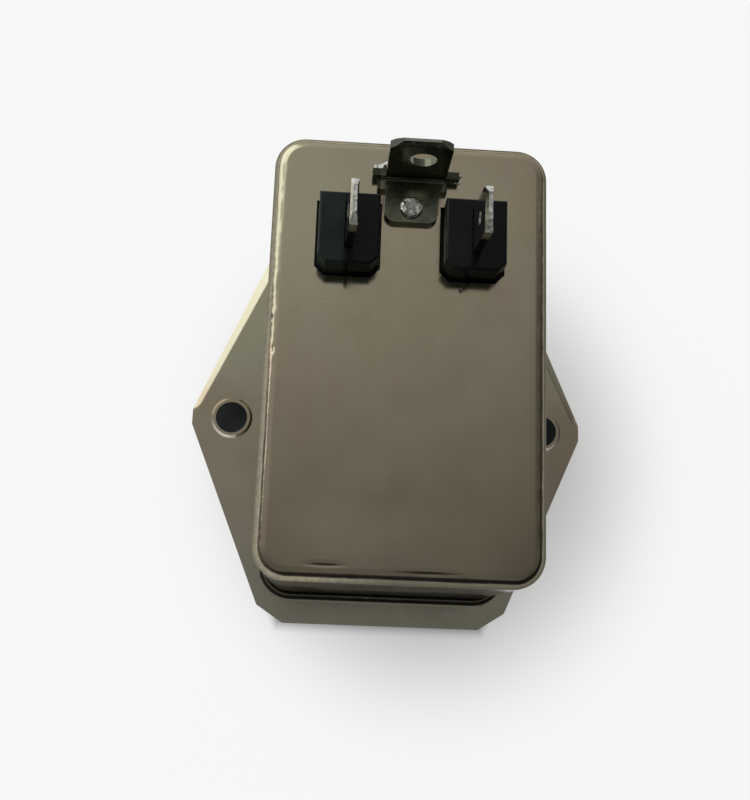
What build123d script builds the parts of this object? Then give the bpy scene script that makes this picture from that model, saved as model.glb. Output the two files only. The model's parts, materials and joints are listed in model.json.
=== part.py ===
from build123d import *
import math
import os

# A mains filter for mounting in a panel, in millimetres. It lies on its front: the inlet socket
# faces down, the terminals point up (+Z) and the long side runs along Y. The origin is on the
# floor, under the middle of the can. The sizes below drive everything else.

# The can and its flange are drawn from one steel sheet
sheet = 0.6
can_corner = 3.3
end_round = 1.4  # outside radius round the closed end
foot_round = 1.0  # hollow radius where the wall meets the flange

# The flange is a long hexagon with its side points on the line of the screw holes
hole_to_can = 5.4
hole_to_point = 5.0
hole_radius = 2.0
rim_radius = 2.65
rim_top_radius = 2.35
rim_height = 0.35
countersink_radius = 2.6
countersink_depth = 0.45
flange_lip = 3.7  # flange beyond the can at both ends
flange_ledge = 0.85  # flange beyond the can's side where the long slanted edge ends
flange_point = 2.0  # flat at each side point
flange_cut_drop = 2.1
flange_cut_run = 3.3
flange_corner = 0.5

# Moulded front with the inlet socket
bezel_thickness = 2.4
bezel_margin = 1.6  # how far the bezel reaches past the can's outside at the sides
bezel_margin_end = 1.4
bezel_corner = 5.6
bezel_round = 0.8
fit_gap = 0.15  # between the moulding and the inside of the can
skirt_height = 4.6
skirt_wall = 1.4
upper_bay = 13.25  # clear length of the moulding above the socket, towards the terminals
lower_bay = 10.05
socket_width = 24.2
socket_height = 16.4
socket_depth = 16.0
socket_bevel = 4.8
socket_corner = 1.0
socket_wall = 1.4
socket_floor = 2.2
socket_mouth_chamfer = 0.4
rib_thickness = 1.2
rib_inset = 1.9
pad_inset = 1.5
pad_size = 3.0
pad_height = 1.8

# Inlet pins
pin_thickness = 2.0
pin_width = 4.0
pin_to_side = 5.1  # from the middle of an outer pin to the side of the socket
earth_pin_offset = 4.0  # between the earth pin and the line of the other two
pin_recess = 3.6
earth_pin_recess = 2.4
pin_tip_chamfer = 0.5
pin_gap = 0.05
collar_margin = 0.7
collar_height = 0.8
tail_thickness = 1.0
tail_width = 2.4
tail_above_board = 1.6

# Board and the gap round what passes through it
board_thickness = 1.6
board_gap = 0.15  # to the sleeve
board_corner = 2.0
lead_gap = 0.1
lead_radius = 0.35
lead_past_board = 0.7

# Insulating sleeve
sleeve_thickness = 0.3
sleeve_gap = 0.1  # to the can and to the socket

# Ring-core choke, axis along Y, as large as the room between the bezel and the board allows
choke_below_board = 0.5
choke_above_bezel = 1.3
core_wall = 3.0
core_length = 7.0
core_round = 0.4
wire = 0.75
wire_gap = 0.15
turn_step = 0.9  # share of the wire's thickness between turns inside the ring
coil_span = 112.5  # degrees of the ring that each coil covers
divider_thickness = 1.0
divider_cheek = 0.8
divider_width = 2.2
divider_gap = 0.1

# Capacitors and resistor
film_width = 17.5
film_thickness = 5.5
film_height = 11.5
film_pitch = 15.0
film_round = 0.5
disc_thickness = 4.0
disc_round = 1.4
disc_pitch = 5.0
disc_margin = 1.45  # to the side of the board
disc_stand = 1.2
disc_headroom = 1.6
rear_room = 10.8  # between the board and the can's closed end
part_gap = 0.9  # between neighbours on the back of the board
resistor_length = 9.0
resistor_radius = 1.6
resistor_cap_radius = 1.8
resistor_cap_length = 1.8
resistor_pitch = 13.0
resistor_stand = 0.3

# Blade terminals and their insulators
blade_width = 4.8
blade_thickness = 0.8
blade_rise = 10.05  # tip above the can's closed end
blade_tip = 1.0
blade_hole_radius = 0.7
blade_hole_drop = 3.2
blade_shoulder_width = 6.6
blade_shoulder = 1.6
blade_shank_width = 4.0
blade_offset = 0.3  # from the middle of its insulator
blade_bevel = 0.2  # from each face at the tip
blade_bevel_height = 0.8
blade_lean = 0.35  # both blades lean to +X by this much at their tips
insulator_to_foot = 0.575  # gap between an insulator and the foot of the earth tab
insulator_width = 6.25
insulator_length = 7.6
insulator_rise = 3.4
insulator_to_end = 11.5  # from its middle to the end of the can
insulator_chamfer = 0.8
insulator_edge = 0.25
insulator_gap = 0.3
insulator_base_margin = 1.0
insulator_base = 1.4

# Earth tab, rivet and strap
tab_thickness = 0.8
tab_width = 6.3
tab_rise = 9.0
tab_tip = 1.3
tab_hole_radius = 1.4
tab_hole_rise = 5.4
tab_hole_offset = 0.35  # the hole is punched off the upright's middle
tab_bevel = 0.25  # from each face at the tip
tab_bevel_height = 0.8
tab_bend = 0.4  # inside radius
tab_x = -0.05
tab_upright_offset = 0.35  # the upright stands to one side of the foot
tab_to_end = 4.35  # from the middle of the upright's thickness to the end of the can
tab_foot_width = 5.6
tab_foot_past_rivet = 1.6
tab_foot_corner = 1.1
tab_shoulder_width = 7.3
tab_shoulder = 1.3
tab_ear_width = 9.1
tab_ear_height = 0.8
tab_ear_rise = 0.5  # from the can to the underside of the ears
rivet_to_tab = 3.65
rivet_radius = 1.0
rivet_gap = 0.05
rivet_head_radius = 1.2
rivet_head_height = 0.35
rivet_tail_radius = 1.7
rivet_tail_height = 0.5
strap_thickness = 0.5
strap_side_gap = 0.375  # to the insulators' bases
strap_bend = 0.4
strap_past_rivet = 1.9
strap_above_board = 0.3

# Levels, from the floor up
flange_front = bezel_thickness
flange_back = flange_front + sheet
socket_back = socket_depth + socket_floor
board_front = socket_back + pad_height
board_back = board_front + board_thickness
can_end_inside = board_back + rear_room
can_end = can_end_inside + sheet
insulator_base_low = can_end_inside - insulator_base
lead_low = board_front - lead_past_board

# Plan sizes, from the socket outwards
shroud_width = socket_width + 2 * socket_wall
shroud_height = socket_height + 2 * socket_wall
sleeve_bore_width = shroud_width + 2 * sleeve_gap
sleeve_width = sleeve_bore_width + 2 * sleeve_thickness
inner_width = sleeve_width + 2 * sleeve_gap
can_width = inner_width + 2 * sheet
plug_width = inner_width - 2 * fit_gap
plug_length = lower_bay + shroud_height + upper_bay + 2 * skirt_wall
inner_length = plug_length + 2 * fit_gap
can_length = inner_length + 2 * sheet
sleeve_length = inner_length - 2 * sleeve_gap
sleeve_bore_length = sleeve_length - 2 * sleeve_thickness
inner_corner = can_corner - sheet
plug_corner = inner_corner - fit_gap
sleeve_corner = inner_corner - sleeve_gap
sleeve_bore_corner = sleeve_corner - sleeve_thickness
board_width = sleeve_bore_width - 2 * board_gap
board_length = sleeve_bore_length - 2 * board_gap
hole_spacing = can_width + 2 * hole_to_can

# Places along Y: the screw holes and the socket share one line, a little off the can's middle
hole_line = skirt_wall + lower_bay + shroud_height / 2 - plug_length / 2
upper_bay_middle = hole_line + shroud_height / 2 + upper_bay / 2
lower_bay_middle = hole_line - shroud_height / 2 - lower_bay / 2
earth_pin_y = hole_line + earth_pin_offset / 2
live_pin_y = hole_line - earth_pin_offset / 2
pin_x = socket_width / 2 - pin_to_side
insulator_y = can_length / 2 - insulator_to_end
blade_y = insulator_y + blade_offset
terminal_x = tab_foot_width / 2 + insulator_to_foot + insulator_width / 2
tab_y = can_length / 2 - tab_to_end
rivet_y = tab_y - rivet_to_tab
tab_foot_end = rivet_y - tab_foot_past_rivet
strap_width = 2 * (terminal_x - insulator_width / 2 - insulator_base_margin - strap_side_gap)

# The choke and the parts on the back of the board
turn_outer = (board_front - choke_below_board - bezel_thickness - choke_above_bezel) / 2
core_outer = turn_outer - wire_gap - wire
core_inner = core_outer - core_wall
turn_inner = core_inner - wire_gap - wire
turn_half_length = core_length / 2 + wire_gap + wire
turn_pitch = math.degrees(turn_step * wire / turn_inner)
turns = int(coil_span / turn_pitch) + 1
choke_y = upper_bay_middle
choke_z = board_front - choke_below_board - turn_outer
last_turn = math.radians((turns - 1) / 2 * turn_pitch)
lead_x = (turn_outer - wire / 2) * math.cos(last_turn)
lead_z = (turn_outer - wire / 2) * math.sin(last_turn)
lead_upper_y = core_length / 2 - wire
lead_lower_y = turn_half_length + 0.4 * wire
film_y = lower_bay_middle
disc_radius = (rear_room - disc_stand - disc_headroom) / 2
disc_x = board_width / 2 - disc_margin - disc_radius
disc_y = live_pin_y - tail_width / 2 - part_gap - disc_thickness / 2
resistor_y = disc_y - disc_thickness / 2 - part_gap - resistor_cap_radius

UP = (Align.CENTER, Align.CENTER, Align.MIN)
BIG = 2 * (can_width + can_length + can_end)  # longer than any cut needs


def slab(width, length, corner, low, high, x=0.0, y=0.0):
    """An upright block with rounded vertical corners, from the level low to the level high."""
    return extrude(Pos(x, y, low) * RectangleRounded(width, length, corner), high - low)


def block(width, length, low, high, x=0.0, y=0.0):
    """An upright block with sharp corners."""
    return Pos(x, y, low) * Box(width, length, high - low, align=UP)


def rod(radius, low, high, x=0.0, y=0.0):
    """An upright round rod."""
    return Pos(x, y, low) * Cylinder(radius, high - low, align=UP)


def edges_at(shape, level, half_width, half_length):
    """Edges of a shape that lie at one level within a rectangle about the origin."""
    near = 1e-3
    return [
        edge
        for edge in shape.edges()
        if abs(edge.bounding_box().min.Z - level) < near
        and abs(edge.bounding_box().max.Z - level) < near
        and abs(edge.center().X) < half_width + near
        and abs(edge.center().Y) < half_length + near
    ]


def flange_outline():
    half_width = hole_spacing / 2 + hole_to_point
    half_length = can_length / 2 + flange_lip
    corner_y = half_length - flange_cut_drop
    point_top = hole_line + flange_point / 2
    point_low = hole_line - flange_point / 2
    low_x = can_width / 2 + flange_ledge
    lean = (half_width - low_x) / (corner_y + point_low)
    top_x = half_width - (corner_y - point_top) * lean
    right = [
        (low_x - flange_cut_run, -half_length),
        (low_x, -corner_y),
        (half_width, point_low),
        (half_width, point_top),
        (top_x, corner_y),
        (top_x - flange_cut_run, half_length),
    ]
    left = [(-x, y) for x, y in reversed(right)]
    face = make_face(Polyline(*right, *left, close=True))
    return fillet(face.vertices(), flange_corner)


def insulator_outline(side, margin):
    """The terminal block's outline with two chamfered corners, grown by a margin."""
    width = insulator_width + 2 * margin
    outline = Rectangle(width, insulator_length + 2 * margin)
    lower = outline.vertices().sort_by(Axis.Y)[:2]
    corner = insulator_chamfer + margin * (2 - math.sqrt(2))
    return Pos(side * terminal_x, insulator_y) * chamfer(lower, corner)


def make_can():
    shell = slab(can_width, can_length, can_corner, flange_front, can_end)
    shell = fillet(shell.faces().sort_by(Axis.Z)[-1].edges(), end_round)
    shell += extrude(Pos(0, 0, flange_front) * flange_outline(), sheet)
    foot = edges_at(shell, flange_back, can_width / 2, can_length / 2)
    shell = fillet(foot, foot_round)
    hollow = slab(inner_width, inner_length, inner_corner, flange_front, can_end_inside)
    hollow = fillet(hollow.faces().sort_by(Axis.Z)[-1].edges(), end_round - sheet)
    shell -= hollow
    mouth = edges_at(shell, flange_front, inner_width / 2, inner_length / 2)
    shell = fillet(mouth, foot_round + sheet)
    for side in (-1, 1):
        x = side * hole_spacing / 2
        rim = Cone(rim_radius, rim_top_radius, rim_height, align=UP)
        sink = Cone(countersink_radius, hole_radius, countersink_depth, align=UP)
        shell += Pos(x, hole_line, flange_back) * rim
        shell -= rod(hole_radius, flange_front, flange_back + rim_height, x, hole_line)
        shell -= Pos(x, hole_line, flange_front) * sink
        cutout = Pos(0, 0, can_end_inside - sheet) * insulator_outline(side, insulator_gap)
        shell -= extrude(cutout, 3 * sheet)
    return shell - rod(rivet_radius + rivet_gap, can_end_inside, can_end, tab_x, rivet_y)


def socket_outline(margin):
    """The inlet's outline, a rectangle with two bevelled corners, grown by a margin."""
    half_width = socket_width / 2 + margin
    half_height = socket_height / 2 + margin
    bevel = socket_bevel + margin * (2 - math.sqrt(2))
    points = [
        (-half_width, -half_height),
        (half_width, -half_height),
        (half_width, half_height - bevel),
        (half_width - bevel, half_height),
        (-half_width + bevel, half_height),
        (-half_width, half_height - bevel),
    ]
    face = make_face(Polyline(*points, close=True))
    return Pos(0, hole_line) * fillet(face.vertices(), socket_corner)


def make_inlet_body():
    bezel = slab(
        can_width + 2 * bezel_margin,
        can_length + 2 * bezel_margin_end,
        bezel_corner,
        0,
        bezel_thickness,
    )
    bezel = fillet(bezel.faces().sort_by(Axis.Z)[0].edges(), bezel_round)
    skirt_top = bezel_thickness + skirt_height
    body = bezel + slab(plug_width, plug_length, plug_corner, bezel_thickness, skirt_top)
    seat = edges_at(body, bezel_thickness, plug_width / 2, plug_length / 2)
    body = fillet(seat, foot_round + sheet - fit_gap)
    body -= slab(
        plug_width - 2 * skirt_wall,
        plug_length - 2 * skirt_wall,
        plug_corner - skirt_wall,
        bezel_thickness,
        skirt_top,
    )
    body += extrude(socket_outline(socket_wall), socket_back)
    shroud_reach = shroud_height / 2 - socket_wall / 2
    for side in (-1, 1):
        for end in (-1, 1):
            start = hole_line + end * shroud_reach
            stop = end * (plug_length / 2 - skirt_wall / 2)
            middle = (start + stop) / 2
            rib_x = side * (shroud_width / 2 - rib_inset - rib_thickness / 2)
            body += block(rib_thickness, abs(stop - start), 0, skirt_top, rib_x, middle)
            pad_x = side * (shroud_width / 2 - pad_inset - pad_size / 2)
            reach = (shroud_height - pad_size) / 2 if end < 0 else 0
            pad_y = hole_line + end * reach
            body += block(pad_size, pad_size, socket_depth, board_front, pad_x, pad_y)
    body -= extrude(socket_outline(0), socket_depth)
    rim = edges_at(body, 0, socket_width / 2, abs(hole_line) + socket_height / 2)
    body = chamfer(rim, socket_mouth_chamfer)
    for x, y in PIN_PLACES:
        body -= block(
            pin_thickness + 2 * pin_gap,
            pin_width + 2 * pin_gap,
            socket_depth,
            socket_back,
            x,
            y,
        )
    return body


PIN_PLACES = [
    (-pin_x, live_pin_y),
    (pin_x, live_pin_y),
    (0.0, earth_pin_y),
]


def make_pin(recess, x, y):
    prong = block(pin_thickness, pin_width, recess, socket_back)
    prong = chamfer(prong.faces().sort_by(Axis.Z)[0].edges(), pin_tip_chamfer)
    collar_top = socket_back + collar_height
    prong += block(
        pin_thickness + 2 * collar_margin,
        pin_width + 2 * collar_margin,
        socket_back,
        collar_top,
    )
    tail_top = board_back + tail_above_board
    prong += block(tail_thickness, tail_width, collar_top, tail_top)
    return Pos(x, y, 0) * prong


def lead_places():
    """Every round lead that passes through the board: x, y and radius."""
    places = []
    for side in (-1, 1):
        places.append((side * lead_x, choke_y + side * lead_upper_y, wire / 2))
        places.append((side * lead_x, choke_y - side * lead_lower_y, wire / 2))
        places.append((side * film_pitch / 2, film_y, lead_radius))
        places.append((side * resistor_pitch / 2, resistor_y, lead_radius))
        for step in (-1, 1):
            x = side * disc_x + step * disc_pitch / 2
            places.append((x, disc_y, lead_radius))
    return places


def make_board():
    board = slab(board_width, board_length, board_corner, board_front, board_back)
    for x, y, radius in lead_places():
        board -= rod(radius + lead_gap, board_front, board_back, x, y)
    for x, y in PIN_PLACES:
        board -= block(
            tail_thickness + 2 * lead_gap,
            tail_width + 2 * lead_gap,
            board_front,
            board_back,
            x,
            y,
        )
    for side in (-1, 1):
        board -= block(
            blade_thickness + 2 * lead_gap,
            tail_width + 2 * lead_gap,
            board_front,
            board_back,
            side * terminal_x,
            blade_y,
        )
    return board


def make_sleeve():
    low = bezel_thickness + skirt_height
    high = can_end_inside - end_round
    outside = slab(sleeve_width, sleeve_length, sleeve_corner, low, high)
    inside = slab(sleeve_bore_width, sleeve_bore_length, sleeve_bore_corner, low, high)
    return outside - inside


def along_y(shape):
    """Lays a shape made about +Z along Y at the choke's place."""
    return Pos(0, choke_y, choke_z) * (Rot(90, 0, 0) * shape)


def make_core():
    ring = Cylinder(core_outer, core_length) - Cylinder(core_inner, core_length)
    return along_y(fillet(ring.edges().filter_by(GeomType.CIRCLE), core_round))


def make_divider():
    hole_height = 2 * (core_inner - divider_gap)
    cheek_y = core_length / 2 + divider_gap
    web = Box(divider_thickness, 2 * (cheek_y + divider_cheek), hole_height)
    clip = Pos(0, choke_y, choke_z) * web
    for side in (-1, 1):
        y = choke_y + side * (cheek_y + divider_cheek / 2)
        low = choke_z - core_inner + divider_gap
        clip += block(divider_width, divider_cheek, low, board_front, 0, y)
    return clip


def make_winding(side):
    """Turns of wire round one half of the ring, with both ends led up through the board."""
    middle = (turn_outer + turn_inner) / 2
    height = turn_outer - turn_inner
    outline = RectangleRounded(height, 2 * turn_half_length, wire)
    outline -= RectangleRounded(height - 2 * wire, 2 * (turn_half_length - wire), wire / 3)
    turn = Pos(middle, 0, 0) * extrude(outline, wire / 2, both=True)
    start = -(turns - 1) / 2 * turn_pitch
    copies = [Rot(0, start + count * turn_pitch, 0) * turn for count in range(turns)]
    coil = copies[0].fuse(*copies[1:])
    lead_top = board_back + lead_past_board - choke_z
    coil += rod(wire / 2, lead_z, lead_top, lead_x, lead_upper_y)
    coil += rod(wire / 2, -lead_z, lead_top, lead_x, -lead_lower_y)
    turned = coil if side > 0 else Rot(0, 0, 180) * coil
    return Pos(0, choke_y, choke_z) * turned


def make_film_capacitor():
    low = board_front - film_height
    case = block(film_width, film_thickness, low, board_front, 0, film_y)
    case = fillet(case.edges(), film_round)
    for side in (-1, 1):
        x = side * film_pitch / 2
        lead_low_end = board_front - film_round
        case += rod(lead_radius, lead_low_end, board_back + lead_past_board, x, film_y)
    return case


def make_disc_capacitor(side):
    middle = board_back + disc_stand + disc_radius
    disc = Cylinder(disc_radius, disc_thickness)
    disc = fillet(disc.edges().filter_by(GeomType.CIRCLE), disc_round)
    disc = Pos(side * disc_x, disc_y, middle) * (Rot(90, 0, 0) * disc)
    for step in (-1, 1):
        x = side * disc_x + step * disc_pitch / 2
        disc += rod(lead_radius, lead_low, middle, x, disc_y)
    return disc


def make_resistor():
    middle = board_back + resistor_stand + resistor_cap_radius
    body = Cylinder(resistor_radius, resistor_length)
    for side in (-1, 1):
        cap = Cylinder(resistor_cap_radius, resistor_cap_length)
        cap = fillet(cap.edges().filter_by(GeomType.CIRCLE), resistor_cap_radius / 4)
        body += Pos(0, 0, side * (resistor_length - resistor_cap_length) / 2) * cap
    body = Pos(0, resistor_y, middle) * (Rot(0, 90, 0) * body)
    half = resistor_pitch / 2
    path = FilletPolyline(
        (-half, resistor_y, lead_low),
        (-half, resistor_y, middle),
        (half, resistor_y, middle),
        (half, resistor_y, lead_low),
        radius=2 * lead_radius,
    )
    section = Pos(-half, resistor_y, lead_low) * Circle(lead_radius)
    return body + sweep(section, path)


def make_insulator(side):
    top = can_end + insulator_rise
    outline = Pos(0, 0, can_end_inside) * insulator_outline(side, 0)
    body = extrude(outline, top - can_end_inside)
    body = fillet(body.faces().sort_by(Axis.Z)[-1].edges(), insulator_edge)
    base_width = insulator_width + 2 * insulator_base_margin
    base_length = insulator_length + 2 * insulator_base_margin
    body += slab(
        base_width,
        base_length,
        insulator_base_margin,
        insulator_base_low,
        can_end_inside,
        side * terminal_x,
        insulator_y,
    )
    return body - block(
        blade_thickness + 2 * pin_gap,
        blade_width + 2 * pin_gap,
        insulator_base_low,
        top,
        side * terminal_x,
        blade_y,
    )


def make_blade(side):
    """A stamped blade: its outline seen from the side, cut from a strip that leans."""
    tip = can_end + blade_rise
    bend = can_end + insulator_rise
    shoulder_low = insulator_base_low - blade_shoulder
    half = blade_width / 2
    tail_low = lead_low
    right = [
        (tail_width / 2, tail_low),
        (tail_width / 2, board_back),
        (blade_shank_width / 2, board_back),
        (blade_shank_width / 2, shoulder_low),
        (blade_shoulder_width / 2, shoulder_low),
        (blade_shoulder_width / 2, insulator_base_low),
        (half, insulator_base_low),
        (half, tip - blade_tip),
        (half - blade_tip, tip),
    ]
    left = [(-y, z) for y, z in reversed(right)]
    side_view = make_face(Polyline(*right, *left, close=True))
    strip_half = blade_thickness / 2
    bevel_low = tip - blade_bevel_height
    bevel_lean = blade_lean * (bevel_low - bend) / (tip - bend)
    end_view = make_face(
        Polyline(
            (-strip_half, tail_low),
            (strip_half, tail_low),
            (strip_half, bend),
            (strip_half + bevel_lean, bevel_low),
            (strip_half + blade_lean - blade_bevel, tip),
            (-strip_half + blade_lean + blade_bevel, tip),
            (-strip_half + bevel_lean, bevel_low),
            (-strip_half, bend),
            close=True,
        )
    )
    blank = extrude(Plane.YZ * side_view, blade_width, both=True)
    strip = extrude(Plane.XZ * end_view, blade_shoulder_width, both=True)
    hole = Rot(0, 90, 0) * Cylinder(blade_hole_radius, BIG)
    blade = (blank & strip) - Pos(0, 0, tip - blade_hole_drop) * hole
    return Pos(side * terminal_x, blade_y, 0) * blade


def bent_strip(width, foot_end, upright_back, height, thickness, bend, x):
    """An L of sheet: a foot that runs to upright_back and an upright there, width across X."""
    direction = 1 if upright_back > foot_end else -1
    front = upright_back - direction * thickness
    rise = 1 if height > 0 else -1
    points = [
        (foot_end, 0),
        (upright_back, 0),
        (upright_back, height),
        (front, height),
        (front, rise * thickness),
        (foot_end, rise * thickness),
    ]
    face = make_face(Polyline(*points, close=True))
    outer = face.vertices().sort_by_distance((upright_back, 0, 0))[:1]
    face = fillet(outer, bend + thickness)
    inner = face.vertices().sort_by_distance((front, rise * thickness, 0))[:1]
    face = fillet(inner, bend)
    return Pos(x, 0, 0) * extrude(Plane.YZ * face, width / 2, both=True)


def make_earth_tab():
    back = tab_y + tab_thickness / 2
    front = tab_y - tab_thickness / 2
    upright_x = tab_x + tab_upright_offset
    width = tab_ear_width + 2 * abs(tab_upright_offset)
    strip = bent_strip(
        width, tab_foot_end, back, tab_rise, tab_thickness, tab_bend, tab_x
    )
    neck = front - tab_shoulder
    foot = Pos(tab_x, (tab_foot_end + front) / 2) * Rectangle(
        tab_foot_width, front - tab_foot_end
    )
    foot = fillet(foot.vertices().sort_by(Axis.Y)[:2], tab_foot_corner)
    foot += Pos(tab_x, (neck + back) / 2) * Rectangle(tab_shoulder_width, back - neck)
    foot = extrude(foot, tab_thickness + tab_bend)
    half = tab_width / 2
    ear = tab_ear_width / 2
    ear_top = tab_ear_rise + tab_ear_height
    upright = make_face(
        Polyline(
            (-half, 0),
            (half, 0),
            (half, tab_ear_rise),
            (ear, tab_ear_rise),
            (ear, ear_top),
            (half, ear_top),
            (half, tab_rise - tab_tip),
            (half - tab_tip, tab_rise),
            (-half + tab_tip, tab_rise),
            (-half, tab_rise - tab_tip),
            (-half, ear_top),
            (-ear, ear_top),
            (-ear, tab_ear_rise),
            (-half, tab_ear_rise),
            close=True,
        )
    )
    upright = extrude(Plane.XZ * upright, -tab_thickness)
    upright = Pos(upright_x, front, 0) * upright
    tab = strip & (foot + upright)
    hole = Rot(90, 0, 0) * Cylinder(tab_hole_radius, 4 * tab_thickness)
    tab -= Pos(upright_x + tab_hole_offset, tab_y, tab_hole_rise) * hole
    for side in (-1, 1):
        face = tab_y + side * tab_thickness / 2
        wedge = make_face(
            Polyline(
                (face, tab_rise - tab_bevel_height),
                (face, tab_rise),
                (face - side * tab_bevel, tab_rise),
                close=True,
            )
        )
        tab -= Pos(upright_x, 0, 0) * extrude(Plane.YZ * wedge, tab_width, both=True)
    tab -= rod(rivet_radius + rivet_gap, 0, tab_thickness, tab_x, rivet_y)
    return Pos(0, 0, can_end) * tab


def make_rivet():
    seat = can_end + tab_thickness
    head = rod(rivet_head_radius, seat, seat + rivet_head_height)
    head = fillet(head.faces().sort_by(Axis.Z)[-1].edges(), 0.8 * rivet_head_height)
    tail_seat = can_end_inside - strap_thickness
    head += rod(rivet_radius, tail_seat, seat)
    head += rod(rivet_tail_radius, tail_seat - rivet_tail_height, tail_seat)
    return Pos(tab_x, rivet_y, 0) * head


def make_strap():
    reach = rivet_y + strap_past_rivet
    leg_front = earth_pin_y + tail_width / 2
    drop = can_end_inside - board_back - strap_above_board
    strap = bent_strip(
        strap_width, reach, leg_front, -drop, strap_thickness, strap_bend, 0
    )
    strap = Pos(0, 0, can_end_inside) * strap
    hole_low = can_end_inside - strap_thickness
    return strap - rod(rivet_radius + rivet_gap, hole_low, can_end_inside, tab_x, rivet_y)


os.makedirs("parts", exist_ok=True)
nodes = {
    "can": make_can(),
    "inlet_body": make_inlet_body(),
    "line_pin": make_pin(pin_recess, *PIN_PLACES[0]),
    "neutral_pin": make_pin(pin_recess, *PIN_PLACES[1]),
    "earth_pin": make_pin(earth_pin_recess, *PIN_PLACES[2]),
    "filter_board": make_board(),
    "insulating_sleeve": make_sleeve(),
    "choke_core": make_core(),
    "choke_divider": make_divider(),
    "line_winding": make_winding(-1),
    "neutral_winding": make_winding(1),
    "x_capacitor": make_film_capacitor(),
    "y_capacitor_line": make_disc_capacitor(-1),
    "y_capacitor_neutral": make_disc_capacitor(1),
    "bleed_resistor": make_resistor(),
    "line_insulator": make_insulator(-1),
    "neutral_insulator": make_insulator(1),
    "line_blade": make_blade(-1),
    "neutral_blade": make_blade(1),
    "earth_tab": make_earth_tab(),
    "earth_rivet": make_rivet(),
    "earth_strap": make_strap(),
}
for name, shape in nodes.items():
    export_step(shape, f"parts/{name}.step")
    size = shape.bounding_box().size
    print(name, len(shape.solids()), round(shape.volume, 1), size)
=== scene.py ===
import json
import math

import bmesh
import bpy
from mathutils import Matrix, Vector, noise


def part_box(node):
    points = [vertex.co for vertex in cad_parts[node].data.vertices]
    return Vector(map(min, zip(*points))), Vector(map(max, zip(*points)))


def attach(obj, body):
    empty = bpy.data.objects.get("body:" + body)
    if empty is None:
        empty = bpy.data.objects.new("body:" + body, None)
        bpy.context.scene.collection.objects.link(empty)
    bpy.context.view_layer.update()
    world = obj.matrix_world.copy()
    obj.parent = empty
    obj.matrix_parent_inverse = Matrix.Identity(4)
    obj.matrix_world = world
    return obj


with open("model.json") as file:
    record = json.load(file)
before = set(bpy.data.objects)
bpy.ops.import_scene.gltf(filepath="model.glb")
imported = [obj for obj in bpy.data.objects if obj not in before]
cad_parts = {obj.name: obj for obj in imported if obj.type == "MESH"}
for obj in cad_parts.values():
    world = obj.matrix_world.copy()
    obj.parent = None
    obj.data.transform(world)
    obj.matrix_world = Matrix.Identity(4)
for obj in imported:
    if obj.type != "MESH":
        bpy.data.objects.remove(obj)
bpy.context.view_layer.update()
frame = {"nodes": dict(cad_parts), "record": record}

# The looks of a mains filter that lies on its front. Lengths in the shaders are in millimetres
# of the shared frame: +Z up out of the can's closed end, Y along its long side.

MM = 0.001
CLOSED_END = 33.0  # level of the can's outside
HOLE_X, HOLE_Y = 20.0, -1.6  # the right screw hole; the left one mirrors it
WHITE = (1.0, 1.0, 1.0, 1.0)
TINNED = (0.75, 0.74, 0.72, 1.0)  # leads


def corners(node):
    """Lowest and highest corner of a CAD node, in millimetres."""
    low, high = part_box(node)
    return low / MM, high / MM


def rgb(red, green, blue):
    return (red, green, blue, 1.0)


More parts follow.
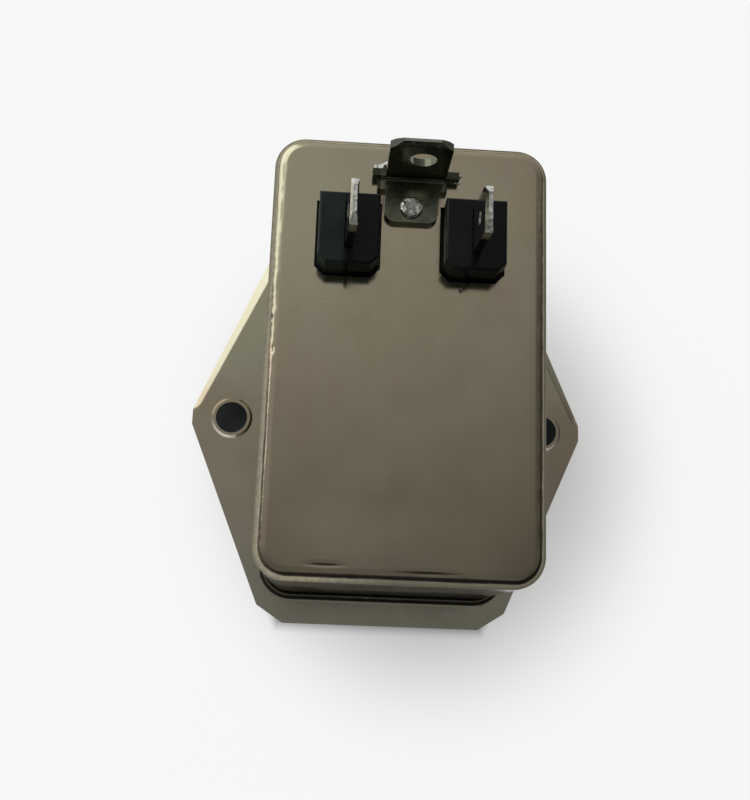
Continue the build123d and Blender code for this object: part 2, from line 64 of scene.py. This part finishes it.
class Shader:
    """A material's or world's node tree, with short calls for the nodes used here."""

    def __init__(self, owner):
        owner.use_nodes = True
        self.tree = owner.node_tree

    def add(self, kind, settings=None, **inputs):
        """A new node. In the names of its inputs, an underscore stands for a space."""
        made = self.tree.nodes.new(kind)
        for name, value in (settings or {}).items():
            setattr(made, name, value)
        for name, value in inputs.items():
            self.plug(made.inputs[name.replace("_", " ")], value)
        return made

    def plug(self, socket, value):
        """Link another node's output to a socket, or set the socket to a constant."""
        if isinstance(value, bpy.types.NodeSocket):
            self.tree.links.new(value, socket)
        else:
            socket.default_value = value

    def dress(self, **inputs):
        """Plug values into the material's principled shader."""
        principled = self.tree.nodes["Principled BSDF"]
        for name, value in inputs.items():
            self.plug(principled.inputs[name.replace("_", " ")], value)

    def place(self):
        """Position on the object, in millimetres."""
        coords = self.add("ShaderNodeTexCoord").outputs["Object"]
        return self.stretch(coords, (1 / MM, 1 / MM, 1 / MM))

    def facing(self):
        """X, Y and Z of the direction that the surface faces."""
        return self.split(self.add("ShaderNodeTexCoord").outputs["Normal"])

    def split(self, vector):
        parts = self.add("ShaderNodeSeparateXYZ", Vector=vector)
        return parts.outputs[0], parts.outputs[1], parts.outputs[2]

    def vector_math(self, operation, *values):
        made = self.add("ShaderNodeVectorMath", {"operation": operation})
        for socket, value in zip(made.inputs, values):
            self.plug(socket, value)
        return made.outputs

    def stretch(self, coords, factors):
        return self.vector_math("MULTIPLY", coords, factors)["Vector"]

    def length(self, vector):
        return self.vector_math("LENGTH", vector)["Value"]

    def spot(self, coords, centre, radii):
        """1 at a centre on the object, 0 beyond an ellipsoid with those radii."""
        shifted = self.vector_math("SUBTRACT", coords, centre)["Vector"]
        scaled = self.stretch(shifted, tuple(1 / radius for radius in radii))
        return self.remap(self.length(scaled), 0.25, 1.0, 1.0, 0.0)

    def noise(self, coords, per_mm, detail=2.0, roughness=0.5):
        made = self.add(
            "ShaderNodeTexNoise",
            Vector=coords,
            Scale=per_mm,
            Detail=detail,
            Roughness=roughness,
        )
        return made.outputs["Fac"]

    def remap(self, value, low, high, to_low=0.0, to_high=1.0):
        """A smooth step from to_low, where value is low, to to_high, where it is high."""
        made = self.add(
            "ShaderNodeMapRange",
            {"interpolation_type": "SMOOTHSTEP"},
            Value=value,
            From_Min=low,
            From_Max=high,
            To_Min=to_low,
            To_Max=to_high,
        )
        return made.outputs[0]

    def math(self, operation, *values):
        made = self.add("ShaderNodeMath", {"operation": operation})
        for socket, value in zip(made.inputs, values):
            self.plug(socket, value)
        return made.outputs[0]

    def product(self, first, *others):
        for value in others:
            first = self.math("MULTIPLY", first, value)
        return first

    def mix(self, share, first, second):
        """A colour between two colours."""
        made = self.add("ShaderNodeMix", {"data_type": "RGBA"})
        self.plug(made.inputs[0], share)
        self.plug(made.inputs[6], first)
        self.plug(made.inputs[7], second)
        return made.outputs[2]

    def mix_numbers(self, share, first, second):
        """A number between two numbers."""
        made = self.add("ShaderNodeMix")
        self.plug(made.inputs[0], share)
        self.plug(made.inputs[2], first)
        self.plug(made.inputs[3], second)
        return made.outputs[0]

    def bump(self, height, distance_mm, strength=1.0, normal=None):
        """The surface's direction over a height, on top of an earlier bump if one is given."""
        made = self.add("ShaderNodeBump", Height=height, Strength=strength)
        made.inputs["Distance"].default_value = distance_mm * MM
        if normal is not None:
            self.plug(made.inputs["Normal"], normal)
        return made.outputs["Normal"]


def material(name, **constants):
    """A material and its node tree, with constants set on its principled shader."""
    made = bpy.data.materials.new(name)
    shader = Shader(made)
    shader.dress(**constants)
    return made, shader


# Marks and painted light on the can's closed end: where, how large in X, Y and Z, and how strong
# Dark smears; the first two are painted dark reflections in the knocks near the front edge
SMEARS = (
    ((-7.4, -21.70, CLOSED_END), (2.5, 0.20, 1.0), 0.95),
    ((2.6, -22.15, CLOSED_END), (4.4, 0.20, 1.0), 0.95),
    ((-6.6, 7.2, CLOSED_END), (0.36, 0.95, 1.0), 0.9),
    ((6.05, 7.7, CLOSED_END), (0.36, 0.60, 1.0), 0.9),
    ((5.70, 7.2, CLOSED_END), (0.34, 0.50, 1.0), 0.9),
    ((5.35, 6.85, CLOSED_END), (0.34, 0.36, 1.0), 0.8),
)
# Painted shade on the right side and at the lower corners of the closed end
SHADES = (
    ((15.0, -25.0, CLOSED_END), (9.0, 12.0, 8.0), 0.45),
    ((14.6, -4.0, CLOSED_END), (2.6, 30.0, 8.0), 0.25),
    ((-12.5, -24.0, CLOSED_END), (4.0, 4.0, 8.0), 0.2),
)
KNOCKS = (
    ((-7.4, -21.7, CLOSED_END), (2.6, 0.5, 1.0), 0.9),
    ((2.6, -22.1, CLOSED_END), (4.2, 0.4, 1.0), 0.8),
    ((-14.0, 3.0, CLOSED_END - 0.1), (0.35, 0.5, 1.0), 0.9),
    ((-13.7, -0.4, CLOSED_END - 0.1), (0.3, 0.6, 1.0), 0.7),
    ((-11.6, 3.6, CLOSED_END), (0.5, 0.4, 1.0), 0.16),
    ((-9.1, 5.1, CLOSED_END), (0.6, 0.3, 1.0), 0.16),
)

# The flange's upper slanted edge is the line across * |x| + along * y = reach
EDGE_ACROSS, EDGE_ALONG, EDGE_REACH = 0.911, 0.412, 22.486
EDGE_ROUND = 0.7  # how far the rounding of that edge reaches to each side of it


def sheet_colour(s, at, mottle):
    """Yellowed plating in soft tones, an olive corner, a pale patch, and painted shade to the right
    and below.
    """
    stain = s.remap(s.noise(at, 0.05, 2.0), 0.35, 0.65)
    cloud = s.noise(s.stretch(at, (0.22, 0.10, 0.2)), 1.0, 4.0, 0.6)
    olive = s.spot(at, (-14.0, 20.0, CLOSED_END), (16.0, 26.0, 60.0))
    pale = s.spot(at, (-5.5, -18.8, CLOSED_END), (8.0, 4.5, 8.0))
    colour = s.mix(stain, rgb(0.50, 0.43, 0.305), rgb(0.49, 0.405, 0.30))
    colour = s.mix(olive, colour, rgb(0.52, 0.49, 0.35))
    colour = s.mix(s.remap(mottle, 0.55, 0.85, 0.0, 0.3), colour, rgb(0.38, 0.33, 0.25))
    colour = s.mix(s.remap(cloud, 0.42, 0.66, 0.0, 0.3), colour, rgb(0.56, 0.51, 0.39))
    # Painted shade
    for centre, radii, depth in SHADES:
        shade = s.product(s.spot(at, centre, radii), depth)
        colour = s.mix(shade, colour, rgb(0.20, 0.175, 0.12))
    return s.mix(s.product(pale, 0.35), colour, rgb(0.66, 0.60, 0.46))


def wall_colour(s, at, x, up):
    """Drawn walls, streaked end to end, darker where they turn, with painted shade on the right."""
    streak = s.noise(s.stretch(at, (2.2, 2.2, 0.08)), 1.0, 3.0, 0.6)
    drawn = s.mix(s.remap(streak, 0.3, 0.7), rgb(0.40, 0.355, 0.26), rgb(0.345, 0.305, 0.225))
    turned_and_shaded = s.mix(s.remap(streak, 0.35, 0.7), rgb(0.32, 0.29, 0.22), rgb(0.25, 0.225, 0.17))
    # Painted shade, growing towards the right
    turned_and_shaded = s.mix(s.remap(x, -10.0, 0.0, 0.0, 0.75), turned_and_shaded, rgb(0.10, 0.095, 0.072))
    return s.mix(s.remap(up, 0.05, 0.3), drawn, turned_and_shaded)


def flange_colour(s, at, y, low, colour):
    """The flange is paler than the closed end: at its near end, left wing and upper half."""
    near_end = s.product(low, s.remap(y, -12.0, -22.0))
    left_wing = s.product(low, s.spot(at, (-20.0, -14.0, 3.0), (7.0, 12.0, 3.0)), 0.5)
    upper_half = s.product(low, s.remap(y, 0.0, 6.0, 0.0, 0.7))
    colour = s.mix(near_end, colour, rgb(0.58, 0.56, 0.44))
    colour = s.mix(left_wing, colour, rgb(0.64, 0.58, 0.46))
    return s.mix(upper_half, colour, rgb(0.53, 0.51, 0.37))


def plated_steel():
    """Glossy plating. The drawn walls have painted shade where they meet the flange, and the closed
    end has smears, two of them painted reflections, with hairlines and knocks."""
    made, s = material("plated_steel", Metallic=1.0, Specular_Tint=rgb(0.42, 0.41, 0.38))
    at = s.place()
    x, y, z = s.split(at)
    beside = s.math("ABSOLUTE", x)
    up = s.facing()[2]
    wall = s.remap(up, 0.93, 0.68)
    low = s.remap(z, 4.6, 3.7)  # the flange and the foot of the walls
    mottle = s.noise(at, 0.45, 4.0, 0.6)

    colour = sheet_colour(s, at, mottle)
    colour = s.mix(wall, colour, wall_colour(s, at, x, up))
    colour = flange_colour(s, at, y, low, colour)

    # Painted shade in the crease at the foot of the walls, and dark smears on the closed end, two
    # of them painted reflections
    crease = s.product(s.remap(z, 4.4, 3.5), s.remap(up, 0.995, 0.96))
    near_can = s.remap(beside, 17.0, 16.2)
    crease_shade_and_smears = s.product(crease, near_can, s.remap(mottle, 0.2, 0.5, 0.8, 0.96))
    for centre, radii, depth in SMEARS:
        crease_shade_and_smears = s.math("MAXIMUM", crease_shade_and_smears, s.product(s.spot(at, centre, radii), depth))
    colour = s.mix(crease_shade_and_smears, colour, rgb(0.05, 0.045, 0.035))

    # Painted highlight: the raised rims round the screw holes are bright on their slopes
    from_hole = s.add(
        "ShaderNodeCombineXYZ",
        X=s.math("SUBTRACT", beside, HOLE_X),
        Y=s.math("SUBTRACT", y, HOLE_Y),
    )
    ring = s.product(low, s.remap(s.length(from_hole.outputs[0]), 2.9, 2.6))
    ring_highlight = s.product(ring, s.remap(up, 0.999, 0.93))
    colour = s.mix(ring_highlight, colour, rgb(0.86, 0.83, 0.76))

    # The sheared upper edge of the flange is a little rounded
    outwards = s.math("ADD", s.product(beside, EDGE_ACROSS), s.product(y, EDGE_ALONG))
    beyond = s.remap(outwards, EDGE_REACH - EDGE_ROUND, EDGE_REACH + EDGE_ROUND)
    rounded = s.product(low, beyond, s.remap(y, -1.0, 0.5))

    # Hairlines along X, knocks, and a slightly uneven round at the closed end
    hairline = s.remap(s.noise(s.stretch(at, (0.12, 9.0, 1.0)), 1.0, 3.0, 0.7), 0.62, 0.74)
    knocks = 0.0
    for centre, radii, depth in KNOCKS:
        knocks = s.math("SUBTRACT", knocks, s.product(s.spot(at, centre, radii), depth))
    end_round = s.product(s.remap(up, 0.995, 0.9), s.remap(z, 31.0, 31.8))
    uneven = s.product(s.noise(at, 0.4, 2.0, 0.5), end_round)

    rough = s.remap(mottle, 0.3, 0.7, 0.13, 0.19)
    rough = s.math("ADD", rough, s.product(hairline, 0.05))
    rough = s.math("ADD", rough, s.product(s.math("MAXIMUM", crease_shade_and_smears, ring_highlight), 0.16))
    rough = s.math("SUBTRACT", rough, s.product(wall, 0.05))

    normal = s.bump(s.noise(at, 0.1, 1.0), 0.25, 0.5)
    normal = s.bump(s.product(rounded, -1.0), 0.36, 1.0, normal)
    normal = s.bump(knocks, 0.035, 1.0, normal)
    normal = s.bump(uneven, 0.09, 1.0, normal)
    normal = s.bump(s.noise(at, 4.0, 2.0), 0.003, 0.5, normal)
    normal = s.bump(hairline, 0.002, 0.4, normal)
    s.dress(Base_Color=colour, Roughness=rough, Normal=normal)
    return made


def tab_steel():
    """Dull dark steel, with a painted highlight along its top and painted shade at its ears and in
    its bend.
    """
    made, s = material("tab_steel", Metallic=1.0)
    at = s.place()
    x, _, z = s.split(at)
    aside = s.facing()[0]
    tone = s.remap(s.noise(at, 0.35, 4.0, 0.6), 0.35, 0.7)
    colour = s.mix(tone, rgb(0.21, 0.22, 0.155), rgb(0.13, 0.135, 0.095))
    # Painted highlight along the top edge
    colour = s.mix(s.remap(z, 41.1, 41.5), colour, rgb(0.36, 0.38, 0.32))

    # The cut corners at the top: painted highlight on the left one, painted shade on the right one
    sideways = s.remap(s.math("ABSOLUTE", aside), 0.2, 0.4)
    cut_corner = s.product(sideways, s.remap(z, 39.5, 40.0))
    on_right = s.remap(aside, -0.1, 0.1)
    corner_light_and_shade = s.mix(on_right, rgb(0.11, 0.115, 0.10), rgb(0.03, 0.03, 0.022))
    colour = s.mix(cut_corner, colour, corner_light_and_shade)

    # Painted shade at the ears and in the bend
    ear = s.product(s.remap(s.math("ABSOLUTE", x), 3.2, 3.5), s.remap(z, 37.0, 35.5))
    bend = s.spot(at, (0.3, 19.3, 34.3), (7.0, 1.6, 1.5))
    dark = s.math("MAXIMUM", ear, bend)
    colour = s.mix(s.product(dark, 0.85), colour, rgb(0.035, 0.035, 0.022))
    grain = s.remap(s.noise(at, 3.0, 3.0, 0.6), 0.3, 0.7, 0.18, 0.28)
    rough = s.math("ADD", grain, s.product(dark, 0.15))
    s.dress(Base_Color=colour, Roughness=rough, Normal=s.bump(s.noise(at, 0.8, 2.0), 0.03, 0.5))
    return made


def pin_metal():
    """Plated metal with fine lines along Z and soft tarnish."""
    made, s = material("pin_metal", Metallic=1.0)
    at = s.place()
    tarnish = s.remap(s.noise(at, 0.35, 4.0, 0.6), 0.35, 0.7)
    lines = s.noise(s.stretch(at, (6.0, 6.0, 0.3)), 1.0, 3.0, 0.6)
    s.dress(
        Base_Color=s.mix(tarnish, rgb(0.78, 0.76, 0.71), rgb(0.66, 0.63, 0.56)),
        Roughness=s.remap(lines, 0.3, 0.7, 0.14, 0.28),
        Normal=s.bump(lines, 0.01, 0.35),
    )
    return made


def blade_metal():
    """Stamped blade: smooth sides, and a sheared tip that is speckled and bright."""
    made, s = material("blade_metal", Metallic=1.0)
    at = s.place()
    tip = s.remap(s.facing()[2], 0.15, 0.5)
    grain = s.noise(at, 2.2, 4.0, 0.65)
    side = s.mix(s.remap(grain, 0.35, 0.7), rgb(0.50, 0.50, 0.46), rgb(0.34, 0.34, 0.30))
    sheared = s.mix(s.remap(grain, 0.4, 0.62), rgb(0.78, 0.78, 0.72), rgb(0.40, 0.40, 0.36))
    shallow = s.bump(s.noise(at, 0.7, 2.0), 0.02, 0.5)
    s.dress(
        Base_Color=s.mix(tip, side, sheared),
        Roughness=s.mix_numbers(tip, 0.1, s.remap(grain, 0.3, 0.7, 0.3, 0.45)),
        Normal=s.bump(s.product(grain, tip), 0.12, 0.8, shallow),
    )
    return made


def struck_metal():
    """The bright, dimpled spot that holds the earth tab, with painted shade on its near side."""
    made, s = material("rivet_metal", Metallic=1.0)
    at = s.place()
    y = s.split(at)[1]
    cells = s.add("ShaderNodeTexVoronoi", Vector=at, Scale=1.2).outputs["Distance"]
    ripple = s.noise(at, 1.8, 3.0, 0.6)
    low, high = corners("earth_rivet")
    middle = (low.y + high.y) / 2
    uneven_y = s.math("ADD", y, s.product(ripple, 0.5))
    # Painted shade on the near side
    near_side_shade = s.remap(uneven_y, middle - 0.15, middle - 0.75)
    colour = s.mix(ripple, rgb(0.88, 0.87, 0.82), rgb(0.52, 0.51, 0.46))
    s.dress(
        Base_Color=s.mix(s.product(near_side_shade, 0.7), colour, rgb(0.15, 0.145, 0.12)),
        Roughness=s.remap(ripple, 0.3, 0.7, 0.2, 0.36),
        Normal=s.bump(s.math("ADD", cells, ripple), 0.22, 0.8),
    )
    return made


def moulding(name, colour, shade, rough, grain_mm, grain_depth):
    """Moulded plastic: faint flow marks in the colour and a fine surface grain."""
    made, s = material(name)
    at = s.place()
    flow = s.remap(s.noise(s.stretch(at, (1.0, 0.5, 0.3)), 0.25, 3.0), 0.35, 0.65)
    grain = s.noise(at, 1 / grain_mm, 2.0, 0.6)
    s.dress(
        Base_Color=s.mix(flow, rgb(*colour), rgb(*shade)),
        Roughness=s.remap(grain, 0.3, 0.7, rough - 0.05, rough + 0.07),
        Normal=s.bump(grain, grain_depth, 0.6),
    )
    return made


def terminal_block():
    """Glossy black moulding, duller down its sides, with a painted reflection left of each blade.
    """
    made, s = material("insulator_plastic", IOR=1.3)
    at = s.place()
    x = s.split(at)[0]
    up = s.facing()[2]

    # Places on the left block count as the same places on the right one
    line_blade, neutral_blade = corners("line_blade")[0].x, corners("neutral_blade")[0].x
    on_left = s.math("LESS_THAN", x, 0.0)
    across = s.math("ADD", x, s.product(on_left, neutral_blade - line_blade))
    # Painted reflection: a lighter film left of each blade, weaker on the right block
    painted_sheen = s.product(
        s.remap(across, neutral_blade + 0.3, neutral_blade - 0.5),
        s.remap(s.noise(at, 0.3, 3.0), 0.3, 0.65, 0.35, 1.0),
        s.remap(x, -1.0, 1.0, 1.0, 0.35),
    )
    grain = s.noise(at, 1.6, 2.0, 0.6)
    gloss = s.remap(grain, 0.3, 0.7, 0.16, 0.26)
    s.dress(
        Base_Color=s.mix(painted_sheen, rgb(0.003, 0.0045, 0.004), rgb(0.021, 0.031, 0.026)),
        Roughness=s.math("ADD", gloss, s.product(painted_sheen, 0.12)),
        Specular_IOR_Level=s.remap(up, 0.1, 0.8, 0.12, 0.5),
        Normal=s.bump(grain, 0.008, 0.6),
    )
    return made


def laminate():
    """Phenolic board with a mottle of paper."""
    made, s = material("board_laminate")
    paper = s.remap(s.noise(s.place(), 1.2, 5.0, 0.7), 0.3, 0.7)
    s.dress(
        Base_Color=s.mix(paper, rgb(0.34, 0.215, 0.085), rgb(0.25, 0.15, 0.055)),
        Roughness=s.remap(paper, 0.0, 1.0, 0.42, 0.6),
        Normal=s.bump(paper, 0.02, 0.5),
    )
    return made


def enamelled_copper():
    """Copper wire under a clear coat."""
    made, s = material("winding_copper", Metallic=1.0, Coat_Weight=0.6, Coat_Roughness=0.12)
    at = s.place()
    tone = s.remap(s.noise(at, 0.8, 3.0), 0.35, 0.65)
    s.dress(
        Base_Color=s.mix(tone, rgb(0.62, 0.27, 0.11), rgb(0.48, 0.17, 0.06)),
        Roughness=s.remap(tone, 0.0, 1.0, 0.22, 0.34),
        Normal=s.bump(s.noise(at, 6.0, 2.0), 0.01, 0.4),
    )
    return made


# A band's middle along X, and its colour
RESISTOR_BANDS = (
    (-2.2, rgb(0.30, 0.10, 0.03)),
    (-1.0, rgb(0.02, 0.02, 0.02)),
    (0.2, rgb(0.60, 0.42, 0.03)),
    (2.2, rgb(0.55, 0.36, 0.10)),
)
BAND_HALF_WIDTH = 0.3
RESISTOR_BARE_END = 3.0  # bare metal at each end, along X


def banded_resistor():
    """A lacquered body with four colour bands and bright ends and leads."""
    made, s = material("resistor_coat", Coat_Weight=0.3, Coat_Roughness=0.15)
    low, high = corners("bleed_resistor")
    at = s.place()
    x = s.split(at)[0]
    colour = s.mix(s.noise(at, 1.5, 3.0), rgb(0.58, 0.44, 0.28), rgb(0.50, 0.36, 0.21))
    for middle, tone in RESISTOR_BANDS:
        from_middle = s.math("ABSOLUTE", s.math("SUBTRACT", x, middle))
        colour = s.mix(s.math("LESS_THAN", from_middle, BAND_HALF_WIDTH), colour, tone)
    lacquered = (high.x - low.x) / 2 - RESISTOR_BARE_END
    bare = s.math("GREATER_THAN", s.math("ABSOLUTE", x), lacquered)
    s.dress(
        Base_Color=s.mix(bare, colour, TINNED),
        Metallic=bare,
        Roughness=s.remap(s.noise(at, 2.0, 2.0), 0.3, 0.7, 0.25, 0.38),
    )
    return made


def dipped_capacitor():
    """Dipped coat with orange-peel gloss, and tinned leads below it."""
    made, s = material("disc_capacitor_coat", Coat_Weight=0.4, Coat_Roughness=0.1)
    low, high = corners("y_capacitor_line")
    disc_low = high.z - (high.x - low.x)  # the disc is as high as it is wide
    at = s.place()
    lead = s.math("LESS_THAN", s.split(at)[2], disc_low - 0.25)
    tone = s.noise(at, 0.8, 3.0)
    colour = s.mix(tone, rgb(0.09, 0.22, 0.55), rgb(0.06, 0.15, 0.42))
    s.dress(
        Base_Color=s.mix(lead, colour, TINNED),
        Metallic=lead,
        Roughness=s.remap(tone, 0.3, 0.7, 0.2, 0.32),
        Normal=s.bump(s.noise(at, 1.6, 2.0), 0.08, 0.4),
    )
    return made


# Slot, two tones, roughness, grain size in millimetres and depth of the grain
MOULDINGS = (
    ("inlet_plastic", (0.020, 0.020, 0.022), (0.028, 0.028, 0.029), 0.46, 0.22, 0.02),
    ("film", (0.76, 0.73, 0.60), (0.70, 0.66, 0.52), 0.3, 1.2, 0.01),
    ("ferrite", (0.045, 0.05, 0.048), (0.07, 0.075, 0.07), 0.42, 0.25, 0.03),
    ("divider_plastic", (0.80, 0.78, 0.69), (0.72, 0.69, 0.58), 0.4, 0.4, 0.01),
    ("film_capacitor_case", (0.72, 0.50, 0.06), (0.64, 0.42, 0.04), 0.26, 0.5, 0.01),
)
looks = {
    "plated_steel": plated_steel(),
    "tab_steel": tab_steel(),
    "rivet_metal": struck_metal(),
    "blade_metal": blade_metal(),
    "pin_metal": pin_metal(),
    "insulator_plastic": terminal_block(),
    "board_laminate": laminate(),
    "winding_copper": enamelled_copper(),
    "disc_capacitor_coat": dipped_capacitor(),
    "resistor_coat": banded_resistor(),
}
for slot, *finish in MOULDINGS:
    looks[slot] = moulding(slot, *finish)
for part in frame["record"]["subparts"]:
    mesh = frame["nodes"][part["node"]].data
    mesh.materials.clear()
    mesh.materials.append(looks[part["material_slot"]])


# Each bead's middle in X and Y, and half its width in X and in Y
BEADS = (
    (-3.60, 20.10, 0.55, 0.36),
    (-3.05, 20.35, 0.45, 0.30),
    (-2.65, 20.60, 0.40, 0.34),
    (-4.1, 19.75, 0.24, 0.20),
    (4.72, 18.95, 0.36, 0.30),
    (5.05, 19.55, 0.22, 0.20),
)
BEAD_HEIGHT = 0.17
LUMPINESS = 0.5


def make_beads():
    """Small drops of bright metal on the can, at the ends of the earth tab's ears."""
    shape = bmesh.new()
    end = corners("can")[1].z
    for x, y, wide, deep in BEADS:
        drop = bmesh.ops.create_icosphere(shape, subdivisions=3, radius=1.0)["verts"]
        for vert in drop:
            lump = 1 + LUMPINESS * noise.noise(vert.co * 1.7 + Vector((3 * x, 3 * y, 0)))
            swell = vert.co * lump
            at = Vector((x + wide * swell.x, y + deep * swell.y, end + BEAD_HEIGHT * swell.z))
            vert.co = at * MM
    mesh = bpy.data.meshes.new("weld_beads")
    shape.to_mesh(mesh)
    shape.free()
    mesh.shade_smooth()
    mesh.materials.append(looks["rivet_metal"])
    beads = bpy.data.objects.new("weld_beads", mesh)
    bpy.context.scene.collection.objects.link(beads)
    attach(beads, "root")


def floor_paper():
    """Pale paper, with a painted shadow under the flange. Away from the object it shows as plain
    white.
    """
    made, s = material("floor_paper", Roughness=0.7)
    at = s.place()
    x, y, _ = s.split(at)
    fibre = s.noise(at, 1.5, 4.0, 0.6)

    # Painted shadow: a dark hexagon that follows the flange's outline
    beside = s.math("ABSOLUTE", x)
    along = s.math("ABSOLUTE", s.math("SUBTRACT", y, HOLE_Y))
    slant = s.math("ADD", beside, s.product(along, 0.46))
    under = s.math(
        "MINIMUM",
        s.remap(slant, 23.4, 25.8, 1.0, 0.0),
        s.remap(along, 24.0, 27.0, 1.0, 0.0),
    )
    paper = s.mix(fibre, rgb(0.93, 0.93, 0.93), rgb(0.91, 0.91, 0.91))
    s.dress(
        Base_Color=s.mix(under, paper, rgb(0.055, 0.066, 0.074)),
        Normal=s.bump(fibre, 0.01, 0.2),
    )

    # White for rays from the camera and for what metal and glass show, more so further away
    path = s.add("ShaderNodeLightPath").outputs
    seen = s.math("MAXIMUM", path["Is Camera Ray"], path["Is Glossy Ray"])
    seen = s.math("MAXIMUM", seen, path["Is Transmission Ray"])
    away = s.math("SUBTRACT", 1.0, s.spot(at, (6.0, -5.0, 0.0), (40.0, 44.0, 60.0)))
    share = s.product(seen, s.remap(away, 0.0, 1.0, 0.4, 0.9), s.math("SUBTRACT", 1.0, under))
    white = s.add("ShaderNodeEmission", Color=WHITE, Strength=1.0)
    blend = s.add("ShaderNodeMixShader")
    s.plug(blend.inputs[0], share)
    s.plug(blend.inputs[1], s.tree.nodes["Principled BSDF"].outputs[0])
    s.plug(blend.inputs[2], white.outputs[0])
    s.plug(s.tree.nodes["Material Output"].inputs["Surface"], blend.outputs[0])
    return made


def make_floor(reach=1.5, steps=12):
    """A flat square sheet of steps x steps faces, in metres."""
    row = steps + 1
    points = [
        (reach * (2 * i / steps - 1), reach * (2 * j / steps - 1), 0.0)
        for j in range(row)
        for i in range(row)
    ]
    faces = [
        (j * row + i, j * row + i + 1, (j + 1) * row + i + 1, (j + 1) * row + i)
        for j in range(steps)
        for i in range(steps)
    ]
    mesh = bpy.data.meshes.new("floor")
    mesh.from_pydata(points, [], faces)
    mesh.materials.append(floor_paper())
    floor = bpy.data.objects.new("floor", mesh)
    bpy.context.scene.collection.objects.link(floor)


def make_world():
    """A room that is brightest low down, most to the left, dark above that and dim overhead."""
    world = bpy.data.worlds.new("room")
    bpy.context.scene.world = world
    s = Shader(world)
    x, y, z = s.split(s.add("ShaderNodeTexCoord").outputs["Generated"])

    # Overhead, the room grows brighter towards the back and the left
    lean = s.math("SUBTRACT", y, s.product(x, 0.35))
    overhead = s.remap(lean, -0.05, 0.5, 0.175, 0.48)

    # Half-way up it is dark, apart from the back
    ring = s.math("ADD", s.product(y, 0.08), s.product(x, -0.06))
    ring = s.math("MAXIMUM", s.math("ADD", ring, 0.10), 0.02)
    ring = s.math("ADD", ring, s.remap(y, 0.2, 0.85, 0.0, 0.4))

    # Low down it is bright on the left, and all round the horizon it is white
    band = s.product(s.remap(x, 0.15, -0.75, 0.12, 0.95), s.remap(y, 0.15, 0.5, 1.0, 0.5))
    level = s.mix_numbers(s.remap(z, 0.80, 0.94), ring, overhead)
    level = s.mix_numbers(s.remap(z, 0.14, 0.34, 1.0, 0.0), level, band)
    level = s.mix_numbers(s.remap(z, 0.04, 0.12, 1.0, 0.0), level, 0.95)
    room = s.add("ShaderNodeCombineColor", Red=level, Green=level, Blue=s.product(level, 0.98))
    from_camera = s.add("ShaderNodeLightPath").outputs["Is Camera Ray"]
    background = s.tree.nodes["Background"]
    s.plug(background.inputs["Color"], s.mix(from_camera, room.outputs[0], WHITE))
    s.plug(background.inputs["Strength"], 1.0)


def make_lamp():
    """A soft rectangular lamp, behind to the left, that faces the middle of the can."""
    data = bpy.data.lights.new("window", "AREA")
    data.shape = "RECTANGLE"
    data.size, data.size_y = 0.85, 0.8
    data.energy = 2.7
    lamp = bpy.data.objects.new("window", data)
    bpy.context.scene.collection.objects.link(lamp)
    lamp.location = (-0.57, 0.55, 0.62)
    target = Vector((0.0, 0.0, 0.02))
    lamp.rotation_euler = (target - lamp.location).to_track_quat("-Z", "Y").to_euler()


def make_camera():
    """The photograph's viewpoint, fitted to the outlines of the can, flange and terminals."""
    lens = bpy.data.cameras.new("camera")
    lens.sensor_width = 36.0
    lens.lens = 47.42
    lens.clip_start = 0.005
    camera = bpy.data.objects.new("camera", lens)
    camera.location = (-0.0079793, -0.0284690, 0.1364483)
    camera.rotation_euler = [math.radians(angle) for angle in (12.59, -3.1726, 2.0742)]
    bpy.context.scene.collection.objects.link(camera)
    bpy.context.scene.camera = camera


make_beads()
make_floor()
make_world()
make_lamp()
make_camera()
bpy.context.scene.view_settings.view_transform = "Standard"
